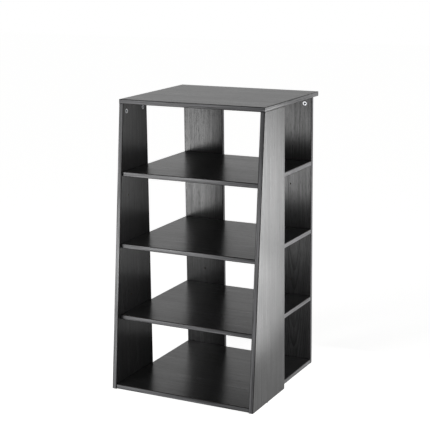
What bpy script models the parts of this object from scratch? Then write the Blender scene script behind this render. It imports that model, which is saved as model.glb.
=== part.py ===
"""Free-standing media stand of melamine-faced particleboard, held together with cam fittings.

Two side panels with slanted front edges and two narrow rear panels carry a top board,
three shelves and a bottom board. The rear corners stay open between side and rear panels,
and a slot stays open between the two rear panels. Every board-to-board joint is a cam lock
in one board that draws in a bolt screwed into the other. Metres, +X right, +Y back, +Z up;
the origin is on the floor under the middle of the stand.
"""

import math

import bmesh
import bpy
from mathutils import Matrix, Vector

# Overall sizes
WIDTH = 0.500               # over the outer faces of the side panels
DEPTH = 0.500               # foot of the side panels to the back edge of the top board
HEIGHT = 0.922              # lower edges of the panels to the face of the top board
BOARD = 0.015               # thickness of every board
PLAY = 0.0003               # gap between two pieces that touch
ARRIS = 0.0012              # rounding along an edge that carries edge banding

# Boards
TOP_DEPTH = 0.4075          # top board, front to back
SIDE_HEAD_DEPTH = 0.1435    # side panel under the top board, where it is narrowest
REAR_WIDTH = 0.146          # rear panel, left to right
REAR_INSET = 0.004          # rear panels stand in from the back edge of the top board
LOWER_SHELF = 0.237         # shelf faces above the lower edges of the panels
MIDDLE_SHELF = 0.468
UPPER_SHELF = 0.696
LOWER_SETBACK = 0.018       # shelf front behind the slanted edge of the side panels
MIDDLE_SETBACK = 0.010
UPPER_SETBACK = 0.006
BOTTOM_SETBACK = 0.0015

# Spare bolt holes, for hanging a shelf at its other height
UPPER_SPARE_DROP = 0.0735   # below the upper shelf's bolts
LOWER_SPARE_RISE = 0.0595   # above the lower shelf's bolts

# Cam fittings
CAM_BORE = 0.015            # across the hole that the cam lock sits in
CAM_FLOOR = 0.0025          # board left under that hole
CAM_FROM_END = 0.024        # middle of the cam to the end of its board
CAM_SINK = 0.0002           # cam face below the board face
CAM_CHAMFER = 0.0006
BOLT_BORE = 0.008           # across the hole from the board's end to the cam
PILOT_BORE = 0.005          # across the hole that the bolt is screwed into
PILOT_FLOOR = 0.004         # board left under that hole
HEAD_PLAY = 0.0006          # round the bolt's head in its bore
POCKET_PLAY = 0.0012        # round the bolt's head inside the cam
NECK = 0.0034               # across the bolt behind its head
NECK_PLAY = 0.0004
HEAD_LENGTH = 0.0024
BOLT_TAPER = 0.6            # tips of the bolt, as a share of the radius behind them
DRIVE_SPAN = 0.0068         # cross recess in the cam's face
DRIVE_SLOT = 0.0017
DRIVE_FLOOR = 0.0014        # metal left under the recess
TOP_CAM_EDGE = 0.024        # cams under the top board, in from a panel's straight edges
TOP_CAM_FRONT = 0.020       # the same from the slanted edge's upper end
SHELF_BOLT_REAR = 0.128     # shelf bolts ahead of the side panels' rear edges
BOTTOM_BOLT_REAR = 0.064    # the bottom board's bolts, clear of the glides' nails
BOTTOM_BOLT_INWARD = 0.032  # the same on the rear panels, from the panel's middle

# Nail-in glides
GLIDE_HEIGHT = 0.003
GLIDE_WIDTH = 0.014
GLIDE_FROM_FRONT = 0.110    # on a side panel, behind its foot
GLIDE_EDGE = 0.0012
NAIL = 0.0022
NAIL_LENGTH = 0.014
NAIL_POINT = 0.003

OVERCUT = 0.002             # cutters reach this far past a face
WELD = 0.00001              # points this close are one
FLAT_ANGLE = 0.01           # faces that meet flatter than this, in radians, are one
FACES_ALIKE = 0.9           # cosine between a face's normal and the side that it is on
ACROSS_BOARD = 0.5          # an edge leans less than this out of the board's plane

# Flat sides that stand for a round one
CAM_SIDES = 16
POCKET_SIDES = 10
BOLT_BORE_SIDES = 10
BOLT_SIDES = 8
GLIDE_SIDES = 12

# Faces and edges that follow from the sizes
FRONT_Y = -DEPTH / 2
BACK_Y = DEPTH / 2
FOOT_Z = GLIDE_HEIGHT
TOP_Z = FOOT_Z + HEIGHT
PANEL_TOP_Z = TOP_Z - BOARD - PLAY
TOP_FRONT_Y = BACK_Y - TOP_DEPTH
SIDE_REAR_Y = TOP_FRONT_Y + SIDE_HEAD_DEPTH
REAR_FACE_Y = BACK_Y - REAR_INSET - BOARD
SHELF_BACK_Y = REAR_FACE_Y - PLAY
INNER_X = WIDTH / 2 - BOARD
SHELF_END_X = INNER_X - PLAY
REAR_MIDDLE_X = SHELF_END_X - REAR_WIDTH / 2
SHELF_BOLT_Y = SIDE_REAR_Y - SHELF_BOLT_REAR
CAM_RADIUS = CAM_BORE / 2 - PLAY
CAM_BORE_DEPTH = BOARD - CAM_FLOOR
PILOT_DEPTH = BOARD - PILOT_FLOOR
HEAD_RADIUS = BOLT_BORE / 2 - HEAD_PLAY
POCKET_RADIUS = HEAD_RADIUS + POCKET_PLAY
POCKET_ROOF = BOARD / 2 - HEAD_RADIUS - PLAY
GLIDE_SEAT = GLIDE_HEIGHT - PLAY

LEFT = -1
RIGHT = 1


def clear_scene():
    for obj in list(bpy.data.objects):
        bpy.data.objects.remove(obj, do_unlink=True)


def new_collection(name):
    group = bpy.data.collections.new(name)
    bpy.context.scene.collection.children.link(group)
    return group


def new_material(name, colour, roughness, metallic=0.0):
    made = bpy.data.materials.new(name)
    made.use_nodes = True
    shader = made.node_tree.nodes["Principled BSDF"]
    shader.inputs["Base Color"].default_value = (*colour, 1.0)
    shader.inputs["Roughness"].default_value = roughness
    shader.inputs["Metallic"].default_value = metallic
    return made


def new_object(name, mesh, group, material=None, place=Matrix.Identity(4)):
    obj = bpy.data.objects.new(name, mesh)
    group.objects.link(obj)
    obj.matrix_world = place
    if material and not mesh.materials:
        mesh.materials.append(material)
    return obj


def mesh_from(bm, name):
    bmesh.ops.recalc_face_normals(bm, faces=bm.faces[:])
    mesh = bpy.data.meshes.new(name)
    bm.to_mesh(mesh)
    bm.free()
    return mesh


def box_mesh(name, low, high):
    """A box between two corners."""
    low = Vector(low)
    high = Vector(high)
    size = high - low
    place = Matrix.Translation((low + high) / 2) @ Matrix.Diagonal((*size, 1.0))
    bm = bmesh.new()
    bmesh.ops.create_cube(bm, size=1.0, matrix=place)
    return mesh_from(bm, name)


def rod_mesh(name, radius, start, end, sides):
    """A round bar from one point to another."""
    start = Vector(start)
    end = Vector(end)
    turn = (end - start).to_track_quat("Z", "Y").to_matrix().to_4x4()
    place = Matrix.Translation((start + end) / 2) @ turn
    bm = bmesh.new()
    bmesh.ops.create_cone(
        bm, cap_ends=True, segments=sides, radius1=radius, radius2=radius,
        depth=(end - start).length, matrix=place,
    )
    return mesh_from(bm, name)


def evaluated_mesh(obj, name):
    """The mesh of an object with its modifiers carried out; the object is removed."""
    bpy.context.view_layer.update()
    solid = obj.evaluated_get(bpy.context.evaluated_depsgraph_get())
    mesh = bpy.data.meshes.new_from_object(solid)
    mesh.name = name
    bm = bmesh.new()
    bm.from_mesh(mesh)
    bmesh.ops.remove_doubles(bm, verts=bm.verts[:], dist=WELD)
    bmesh.ops.recalc_face_normals(bm, faces=bm.faces[:])
    bm.to_mesh(mesh)
    bm.free()
    bpy.data.objects.remove(obj, do_unlink=True)
    return mesh


def turned_mesh(name, profile, steps):
    """A solid of revolution about Z from (radius, height) points, listed from the top down."""
    mesh = bpy.data.meshes.new(name + "_profile")
    points = [(radius, 0.0, height) for radius, height in profile]
    edges = [(i, i + 1) for i in range(len(points) - 1)]
    mesh.from_pydata(points, edges, [])
    obj = new_object(name + "_profile", mesh, bpy.context.scene.collection)
    screw = obj.modifiers.new("turn", "SCREW")
    screw.axis = "Z"
    screw.steps = steps
    screw.render_steps = steps
    screw.use_merge_vertices = True
    screw.merge_threshold = WELD
    return evaluated_mesh(obj, name)


def outline_mesh(name, outline, thickness):
    """A flat slab in the YZ plane, centred on X = 0, from the (y, z) corners of its outline."""
    curve = bpy.data.curves.new(name + "_outline", "CURVE")
    curve.dimensions = "2D"
    curve.fill_mode = "BOTH"
    curve.extrude = thickness / 2
    spline = curve.splines.new("POLY")
    spline.points.add(len(outline) - 1)
    for point, (y, z) in zip(spline.points, outline):
        point.co = (y, z, 0.0, 1.0)
    spline.use_cyclic_u = True
    obj = new_object(name + "_outline", curve, bpy.context.scene.collection)
    mesh = evaluated_mesh(obj, name)
    # The curve's own axes are the board's Y and Z.
    mesh.transform(Matrix(((0, 0, 1, 0), (1, 0, 0, 0), (0, 1, 0, 0), (0, 0, 0, 1))))
    return mesh


def combine(target, tool, operation, step_name):
    """Cuts or joins with a hidden tool object, which stays in the cutters' collection."""
    tool.hide_render = True
    tool.display_type = "WIRE"
    step = target.modifiers.new(step_name, "BOOLEAN")
    step.operation = operation
    step.object = tool
    step.solver = "EXACT"


def soften_edges(obj, thickness_axis, banded):
    """Rounds both long arrises of every side of a board that carries edge banding."""
    mesh = obj.data
    bm = bmesh.new()
    bm.from_mesh(mesh)
    bmesh.ops.dissolve_limit(bm, angle_limit=FLAT_ANGLE, verts=bm.verts[:], edges=bm.edges[:])
    weight = bm.edges.layers.float.new("bevel_weight_edge")
    for face in bm.faces:
        if not any(face.normal.dot(Vector(side)) > FACES_ALIKE for side in banded):
            continue
        for edge in face.edges:
            run = (edge.verts[1].co - edge.verts[0].co).normalized()
            if abs(run[thickness_axis]) < ACROSS_BOARD:
                edge[weight] = 1.0
    bm.to_mesh(mesh)
    bm.free()
    bevel = obj.modifiers.new("banding_arris", "BEVEL")
    bevel.limit_method = "WEIGHT"
    bevel.width = ARRIS
    bevel.segments = 2
    bevel.use_clamp_overlap = True


def front_line(height):
    """Y of the side panels' slanted front edges at a height above the floor."""
    rise = (height - FOOT_Z) / (TOP_Z - BOARD - FOOT_Z)
    return FRONT_Y + rise * (TOP_FRONT_Y - FRONT_Y)


def make_materials():
    return {
        "melamine": new_material("black_woodgrain_melamine", (0.022, 0.022, 0.023), 0.42),
        "zinc": new_material("die_cast_zinc", (0.62, 0.62, 0.63), 0.38, 1.0),
        "steel": new_material("zinc_plated_steel", (0.55, 0.55, 0.57), 0.30, 1.0),
        "plastic": new_material("black_polyethylene", (0.015, 0.015, 0.015), 0.55),
    }


def flat_board(name, low, high, banded, stand):
    """A rectangular board; its thickness runs along its shortest side."""
    low = Vector(low)
    high = Vector(high)
    size = high - low
    mesh = box_mesh(name, -size / 2, size / 2)
    place = Matrix.Translation((low + high) / 2)
    obj = new_object(name, mesh, stand["parts"], stand["materials"]["melamine"], place)
    soften_edges(obj, min(range(3), key=lambda axis: size[axis]), banded)
    return obj


def make_boards(stand):
    level_edges = ((1, 0, 0), (-1, 0, 0), (0, 1, 0), (0, -1, 0))
    boards = {}
    boards["top_board"] = flat_board(
        "top_board", (-WIDTH / 2, TOP_FRONT_Y, TOP_Z - BOARD), (WIDTH / 2, BACK_Y, TOP_Z),
        level_edges, stand,
    )
    outline = (
        (FRONT_Y, FOOT_Z),
        (SIDE_REAR_Y, FOOT_Z),
        (SIDE_REAR_Y, PANEL_TOP_Z),
        (front_line(PANEL_TOP_Z), PANEL_TOP_Z),
    )
    for side, word in ((LEFT, "left"), (RIGHT, "right")):
        name = f"side_panel_{word}"
        mesh = outline_mesh(name, outline, BOARD)
        place = Matrix.Translation((side * (WIDTH - BOARD) / 2, 0, 0))
        panel = new_object(name, mesh, stand["parts"], stand["materials"]["melamine"], place)
        soften_edges(panel, 0, ((0, 1, 0), (0, -1, 0)))
        boards[name] = panel

        name = f"rear_panel_{word}"
        middle = side * REAR_MIDDLE_X
        boards[name] = flat_board(
            name, (middle - REAR_WIDTH / 2, REAR_FACE_Y, FOOT_Z),
            (middle + REAR_WIDTH / 2, REAR_FACE_Y + BOARD, PANEL_TOP_Z),
            ((1, 0, 0), (-1, 0, 0)), stand,
        )

    for name, face, setback in (
        ("bottom_board", BOARD, BOTTOM_SETBACK),
        ("lower_shelf", LOWER_SHELF, LOWER_SETBACK),
        ("middle_shelf", MIDDLE_SHELF, MIDDLE_SETBACK),
        ("upper_shelf", UPPER_SHELF, UPPER_SETBACK),
    ):
        top = FOOT_Z + face
        boards[name] = flat_board(
            name, (-SHELF_END_X, front_line(top) + setback, top - BOARD),
            (SHELF_END_X, SHELF_BACK_Y, top), level_edges, stand,
        )
    return boards


def cam_mesh(stand, hollow):
    """The cam lock: a zinc cup that opens downwards, slotted for the bolt's neck.

    Local axes of every fitting: Z out of the board's face, X towards the other board,
    origin where the cam's axis meets the face, so that the bolt lies at Z = -BOARD / 2.
    """
    bottom = -(CAM_BORE_DEPTH - PLAY)
    rim = CAM_RADIUS - CAM_CHAMFER
    profile = (
        (0.0, -CAM_SINK),
        (rim, -CAM_SINK),
        (CAM_RADIUS, -CAM_SINK - CAM_CHAMFER),
        (CAM_RADIUS, bottom),
        (0.0, bottom),
    )
    name = "cam_body" if hollow else "cam_body_closed"
    body = new_object(name, turned_mesh(name, profile, CAM_SIDES), stand["cutters"])
    recess = -(POCKET_ROOF - DRIVE_FLOOR)
    half = DRIVE_SPAN / 2
    slot = DRIVE_SLOT / 2
    tools = [
        box_mesh("drive_a", (-half, -slot, recess), (half, slot, OVERCUT)),
        box_mesh("drive_b", (-slot, -half, recess), (slot, half, OVERCUT)),
    ]
    if hollow:
        reach = CAM_RADIUS + OVERCUT
        gape = NECK / 2 + NECK_PLAY
        axis = -BOARD / 2
        tools += [
            rod_mesh("pocket", POCKET_RADIUS, (0, 0, bottom - OVERCUT),
                     (0, 0, -POCKET_ROOF), POCKET_SIDES),
            rod_mesh("entry", BOLT_BORE / 2, (-reach, 0, axis), (0, 0, axis),
                     BOLT_BORE_SIDES),
            box_mesh("neck_slot", (-reach, -gape, axis - gape), (reach, reach, axis + gape)),
        ]
    for mesh in tools:
        tool = new_object(mesh.name, mesh, stand["cutters"])
        combine(body, tool, "DIFFERENCE", mesh.name)
    return evaluated_mesh(body, "cam_lock")


def bolt_mesh():
    """The bolt: a coned head in the cam, a thin neck, a shank in its bore, a screwed end."""
    hold = POCKET_RADIUS - PLAY
    shoulder = math.sqrt(hold * hold - HEAD_RADIUS * HEAD_RADIUS)
    shank = BOLT_BORE / 2 - PLAY
    thread_end = CAM_FROM_END + PILOT_DEPTH
    thread = PILOT_BORE / 2 - PLAY
    neck_end = CAM_RADIUS + PLAY + NECK / 2
    along = (
        (thread * BOLT_TAPER, thread_end),
        (thread, thread_end - thread),
        (thread, CAM_FROM_END),
        (shank, CAM_FROM_END),
        (shank, neck_end),
        (NECK / 2, neck_end),
        (NECK / 2, hold),
        (HEAD_RADIUS, shoulder),
        (HEAD_RADIUS, shoulder - HEAD_LENGTH / 2),
        (HEAD_RADIUS * BOLT_TAPER, shoulder - HEAD_LENGTH),
    )
    profile = ((0.0, along[0][1]), *along, (0.0, along[-1][1]))
    mesh = turned_mesh("cam_bolt", profile, BOLT_SIDES)
    # Laid along X at the middle of the board's thickness.
    mesh.transform(Matrix.Rotation(math.pi / 2, 4, "Y"))
    mesh.transform(Matrix.Translation((0, 0, -BOARD / 2)))
    return mesh


def joined_mesh(stand, first, second, name):
    """Two meshes united into one closed body."""
    body = new_object(name, first, stand["cutters"])
    tool = new_object(name + "_tool", second, stand["cutters"])
    combine(body, tool, "UNION", "join")
    return evaluated_mesh(body, name)


def fitting_meshes(stand):
    """Every mesh that a cam fitting needs, in the fitting's own axes."""
    axis = -BOARD / 2
    face = CAM_FROM_END + PLAY
    closed_cam = cam_mesh(stand, hollow=False)
    cam = cam_mesh(stand, hollow=True)
    bolt = bolt_mesh()
    cam.materials.append(stand["materials"]["zinc"])
    bolt.materials.append(stand["materials"]["steel"])
    both = joined_mesh(stand, closed_cam, bolt.copy(), "cam_with_bolt")
    both.materials.clear()
    both.materials.append(stand["materials"]["zinc"])
    return {
        "cam": cam,
        "bolt": bolt,
        "both": both,
        "cam_bore": rod_mesh("cam_bore", CAM_BORE / 2, (0, 0, -CAM_BORE_DEPTH),
                             (0, 0, OVERCUT), CAM_SIDES),
        "bolt_bore": rod_mesh("bolt_bore", BOLT_BORE / 2, (0, 0, axis),
                              (CAM_FROM_END + OVERCUT, 0, axis), BOLT_BORE_SIDES),
        "pilot": rod_mesh("pilot_bore", PILOT_BORE / 2, (face - OVERCUT, 0, axis),
                          (face + PILOT_DEPTH, 0, axis), BOLT_SIDES),
    }


def fitting_frame(centre, outward, along):
    """Local axes of a fitting: X along the bolt, Z out of the cam's face."""
    x = Vector(along)
    z = Vector(outward)
    y = z.cross(x)
    place = Matrix((x, y, z)).transposed().to_4x4()
    place.translation = Vector(centre)
    return place


def bore(stand, board, kind, place):
    """Marks a hole with a hidden cutter; drill_boards takes a board's holes out together."""
    cutter = new_object(f"{board.name}_{kind}", stand["meshes"][kind],
                        stand["holes"][board.name], place=place)
    cutter.hide_render = True
    cutter.display_type = "WIRE"


def drill_boards(stand):
    """One cut takes out all the holes of a board, also where two of them meet."""
    for name, board in stand["boards"].items():
        step = board.modifiers.new("holes", "BOOLEAN")
        step.operation = "DIFFERENCE"
        step.operand_type = "COLLECTION"
        step.collection = stand["holes"][name]
        step.solver = "EXACT"


def cam_fitting(stand, label, cam_board, bolt_board, place, joined=False):
    """A cam lock in one board and its bolt in the other, with their three holes."""
    boards = stand["boards"]
    bore(stand, boards[cam_board], "bolt_bore", place)
    bore(stand, boards[cam_board], "cam_bore", place)
    bore(stand, boards[bolt_board], "pilot", place)
    if joined:
        new_object(f"{label}_cam_fitting", stand["meshes"]["both"], stand["parts"],
                   place=place)
        return
    new_object(f"{label}_cam", stand["meshes"]["cam"], stand["parts"], place=place)
    new_object(f"{label}_bolt", stand["meshes"]["bolt"], stand["parts"], place=place)


def top_fittings(stand):
    """Two cams in the inner face of each panel, with bolts up into the top board."""
    height = PANEL_TOP_Z - CAM_FROM_END
    for side, word in ((LEFT, "left"), (RIGHT, "right")):
        for y, end in (
            (TOP_FRONT_Y + TOP_CAM_FRONT, "front"),
            (SIDE_REAR_Y - TOP_CAM_EDGE, "rear"),
        ):
            place = fitting_frame((side * INNER_X, y, height), (-side, 0, 0), (0, 0, 1))
            cam_fitting(stand, f"top_side_{word}_{end}", f"side_panel_{word}",
                        "top_board", place)
        spread = REAR_WIDTH / 2 - TOP_CAM_EDGE
        for offset, end in ((spread, "outer"), (-spread, "inner")):
            x = side * (REAR_MIDDLE_X + offset)
            place = fitting_frame((x, REAR_FACE_Y, height), (0, -1, 0), (0, 0, 1))
            cam_fitting(stand, f"top_rear_{word}_{end}", f"rear_panel_{word}",
                        "top_board", place)


def shelf_fittings(stand):
    """Four cams in the underside of each level board, with a bolt from each panel."""
    for board, face, side_y, rear_x in (
        ("bottom_board", BOARD, SIDE_REAR_Y - BOTTOM_BOLT_REAR,
         REAR_MIDDLE_X - BOTTOM_BOLT_INWARD),
        ("lower_shelf", LOWER_SHELF, SHELF_BOLT_Y, REAR_MIDDLE_X),
        ("middle_shelf", MIDDLE_SHELF, SHELF_BOLT_Y, REAR_MIDDLE_X),
        ("upper_shelf", UPPER_SHELF, SHELF_BOLT_Y, REAR_MIDDLE_X),
    ):
        underside = FOOT_Z + face - BOARD
        joined = board == "bottom_board"
        side_x = SHELF_END_X - CAM_FROM_END
        rear_y = SHELF_BACK_Y - CAM_FROM_END
        for side, word in ((LEFT, "left"), (RIGHT, "right")):
            place = fitting_frame((side * side_x, side_y, underside), (0, 0, -1),
                                  (side, 0, 0))
            cam_fitting(stand, f"{board}_side_{word}", board, f"side_panel_{word}",
                        place, joined)
            place = fitting_frame((side * rear_x, rear_y, underside), (0, 0, -1),
                                  (0, 1, 0))
            cam_fitting(stand, f"{board}_rear_{word}", board, f"rear_panel_{word}",
                        place, joined)


def spare_holes(stand):
    """Bolt holes left free in all four panels, for the shelves' other heights."""
    heights = (
        FOOT_Z + UPPER_SHELF - BOARD / 2 - UPPER_SPARE_DROP,
        FOOT_Z + LOWER_SHELF - BOARD / 2 + LOWER_SPARE_RISE,
    )
    back_off = CAM_FROM_END + PLAY
    for height in heights:
        level = height - BOARD / 2
        for side, word in ((LEFT, "left"), (RIGHT, "right")):
            x = side * (INNER_X - back_off)
            place = fitting_frame((x, SHELF_BOLT_Y, level), (0, 0, -1), (side, 0, 0))
            bore(stand, stand["boards"][f"side_panel_{word}"], "pilot", place)
            y = REAR_FACE_Y - back_off
            place = fitting_frame((side * REAR_MIDDLE_X, y, level), (0, 0, -1), (0, 1, 0))
            bore(stand, stand["boards"][f"rear_panel_{word}"], "pilot", place)


def make_glides(stand):
    """A nail-in glide under each panel."""
    nail_top = GLIDE_SEAT + NAIL_LENGTH
    rim = GLIDE_WIDTH / 2
    profile = (
        (0.0, nail_top),
        (NAIL / 2, nail_top - NAIL_POINT),
        (NAIL / 2, GLIDE_SEAT),
        (rim, GLIDE_SEAT),
        (rim, GLIDE_EDGE),
        (rim - GLIDE_EDGE, 0.0),
        (0.0, 0.0),
    )
    mesh = turned_mesh("glide", profile, GLIDE_SIDES)
    mesh.materials.append(stand["materials"]["plastic"])
    stand["meshes"]["nail_bore"] = rod_mesh(
        "nail_bore", NAIL / 2 + PLAY, (0, 0, 0), (0, 0, nail_top + PLAY), BOLT_SIDES,
    )
    side_y = FRONT_Y + GLIDE_FROM_FRONT
    rear_y = REAR_FACE_Y + BOARD / 2
    for side, word in ((LEFT, "left"), (RIGHT, "right")):
        for panel, x, y in (
            ("side", side * (WIDTH - BOARD) / 2, side_y),
            ("rear", side * REAR_MIDDLE_X, rear_y),
        ):
            place = Matrix.Translation((x, y, 0))
            new_object(f"glide_{panel}_{word}", mesh, stand["parts"], place=place)
            bore(stand, stand["boards"][f"{panel}_panel_{word}"], "nail_bore", place)


def shade_round_pieces(stand):
    for mesh in {obj.data for obj in stand["parts"].objects}:
        mesh.shade_smooth()
        mesh.set_sharp_from_angle(angle=math.radians(30))


def main():
    clear_scene()
    stand = {
        "parts": new_collection("media_stand"),
        "cutters": new_collection("cutters"),
        "materials": make_materials(),
    }
    stand["boards"] = make_boards(stand)
    stand["holes"] = {name: new_collection(f"{name}_holes") for name in stand["boards"]}
    stand["meshes"] = fitting_meshes(stand)
    top_fittings(stand)
    shelf_fittings(stand)
    spare_holes(stand)
    make_glides(stand)
    drill_boards(stand)
    shade_round_pieces(stand)


main()
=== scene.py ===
import math

import bpy
import numpy as np
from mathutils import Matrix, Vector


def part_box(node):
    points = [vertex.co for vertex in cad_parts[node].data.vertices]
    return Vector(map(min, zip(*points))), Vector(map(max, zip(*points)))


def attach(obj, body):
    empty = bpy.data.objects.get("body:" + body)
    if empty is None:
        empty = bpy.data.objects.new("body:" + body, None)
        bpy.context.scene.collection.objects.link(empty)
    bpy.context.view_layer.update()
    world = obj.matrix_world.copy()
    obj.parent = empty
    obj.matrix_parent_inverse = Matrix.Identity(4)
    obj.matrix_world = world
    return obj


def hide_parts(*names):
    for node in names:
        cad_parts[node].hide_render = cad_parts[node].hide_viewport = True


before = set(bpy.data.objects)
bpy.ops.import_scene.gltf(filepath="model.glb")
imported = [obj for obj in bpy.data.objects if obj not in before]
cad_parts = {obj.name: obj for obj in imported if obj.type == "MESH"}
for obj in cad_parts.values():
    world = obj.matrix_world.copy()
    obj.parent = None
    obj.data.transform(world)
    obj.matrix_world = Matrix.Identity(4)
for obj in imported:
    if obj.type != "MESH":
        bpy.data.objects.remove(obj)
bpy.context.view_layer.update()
mm = 0.001  # in metres
print("frame loaded:", len(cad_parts), "pieces")


def linearColour(hexText):
    # Each sRGB channel from 0 to 1 becomes linear light: a straight toe, then the 2.4 power curve.
    channel = np.array([int(hexText[i:i + 2], 16) for i in (1, 3, 5)]) / 255
    curve = np.where(channel <= 0.04045, channel / 12.92, ((channel + 0.055) / 1.055) ** 2.4)
    return (*curve.tolist(), 1.0)


def rampStops(tones):
    # Pairs of a place on a ramp and a hex colour, as the ramp takes them.
    return [(place, linearColour(hexText)) for place, hexText in tones]


def perMetre(sizes):
    # How many of each size, in mm, go into a metre: the scale at which a pattern is that big.
    return [1 / (size * mm) for size in sizes]


def setInputs(tree, node, inputs):
    # An input is a plain value, a socket or a node, whose first output is then meant.
    for key, value in inputs.items():
        if isinstance(value, bpy.types.Node):
            tree.links.new(value.outputs[0], node.inputs[key])
        elif isinstance(value, bpy.types.NodeSocket):
            tree.links.new(value, node.inputs[key])
        else:
            node.inputs[key].default_value = value


def addNode(tree, kind, settings=None, inputs=None):
    # Settings go on the node, and stops are a ramp's places and colours.
    node = tree.nodes.new(kind)
    for key, value in (settings or {}).items():
        if key == "stops":
            stops = node.color_ramp.elements
            while len(stops) < len(value):
                stops.new(0.5)
            for stop, (place, colour) in zip(stops, value):
                stop.position = place
                stop.color = colour
        else:
            setattr(node, key, value)
    setInputs(tree, node, inputs or {})
    return node


def startMaterial(name):
    # A material with nothing but its shader, whose sockets the caller sets and links.
    material = bpy.data.materials.new(name)
    material.use_nodes = True
    tree = material.node_tree
    tree.nodes.clear()
    shader = addNode(tree, "ShaderNodeBsdfPrincipled")
    addNode(tree, "ShaderNodeOutputMaterial", {}, {"Surface": shader})
    return material, tree, shader


# The camera stands where the photograph was taken from, found from the stand's corners.
cameraSettings = {
    "place": (1.71665, -3.31000, 1.40936),  # metres
    "azimuth": 27.417,                      # degrees to the right of the front
    "elevation": 13.046,                    # degrees that it looks down
    "roll": -0.703,                         # degrees
    "focal": 1196.11,                       # in pixels of a frame 430 wide
    "frameSide": 430,
    "sensor": 36.0,                         # mm
    "farthest": 60.0,                       # metres
}


def makeCamera(s):
    # Forward follows from azimuth and elevation; right and up stand square to it, turned by the roll.
    azimuth, elevation, roll = (math.radians(s[key]) for key in ("azimuth", "elevation", "roll"))
    level = math.cos(elevation)
    forward = np.array([-math.sin(azimuth) * level, math.cos(azimuth) * level, -math.sin(elevation)])
    right = np.array([math.cos(azimuth), math.sin(azimuth), 0.0])
    up = np.cross(right, forward)
    across = math.cos(roll) * right + math.sin(roll) * up
    upward = math.cos(roll) * up - math.sin(roll) * right
    data = bpy.data.cameras.new("camera")
    data.sensor_width = s["sensor"]
    data.lens = s["sensor"] * s["focal"] / s["frameSide"]
    data.clip_end = s["farthest"]
    camera = bpy.data.objects.new("camera", data)
    placed = np.eye(4)
    placed[:3, :3] = np.stack([across, upward, -forward], axis=1)
    placed[:3, 3] = s["place"]
    camera.matrix_world = placed.T.tolist()
    bpy.context.scene.collection.objects.link(camera)
    bpy.context.scene.camera = camera


makeCamera(cameraSettings)
print("camera placed")


# Materials

# Particleboard faced with black wood-grain paper in melamine resin, pressed against an embossed
# plate: near black, with matt pores along the grain and a satin sheen that shows it at a flat angle.
melamineSettings = {
    "tones": ((0.10, "#040405"), (0.50, "#0d0d0e"), (0.92, "#2c2c2e")),
    "middleTone": 0.5,
    "fibre": (6.0, 3.4, 170.0),    # mm of one streak: into the board, across and along the grain;
                                   # real fibres are 0.2 wide, drawn coarser so that they show
    "vein": (22.0, 8.0, 520.0),    # mm of one broad vein
    "pore": (2.5, 1.4, 22.0),      # mm, coarser than real for the same reason
    "detail": {"fibre": 2.0, "vein": 3.0, "pore": 1.0},
    "fineDetail": 0.6,             # strength of each finer layer of detail beside the one before
    "shares": {"fibre": 0.75, "vein": 0.65, "pore": -0.30},
    "poreFrom": 0.56, "poreTo": 0.68,
    "waver": (60.0, 70.0, 330.0),  # mm over which the grain swings from side to side
    "waverBy": 4.0,                # mm
    "waverDetail": 1.0,
    "ringSpacing": 6.0,            # mm between growth rings
    "lateWoodPower": 3.0,          # the higher, the thinner is each ring's dark line
    "pithDistance": 20.0,          # mm from the tree's middle to the board
    "ior": 1.57,
    "specular": 0.30,
    "matt": 0.38, "satin": 0.22,   # roughness of the darkest and of the palest grain
    "acrossGrain": 0.75,           # how much further a highlight spreads across the grain than along it
    "poreShine": 0.50,             # share of the shine that is left where the grain is darkest
    "shineFrom": 0.05, "shineTo": 0.55,
    "bump": 0.5, "emboss": 0.15,   # strength, and mm that the pores are pressed in
}


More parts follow.
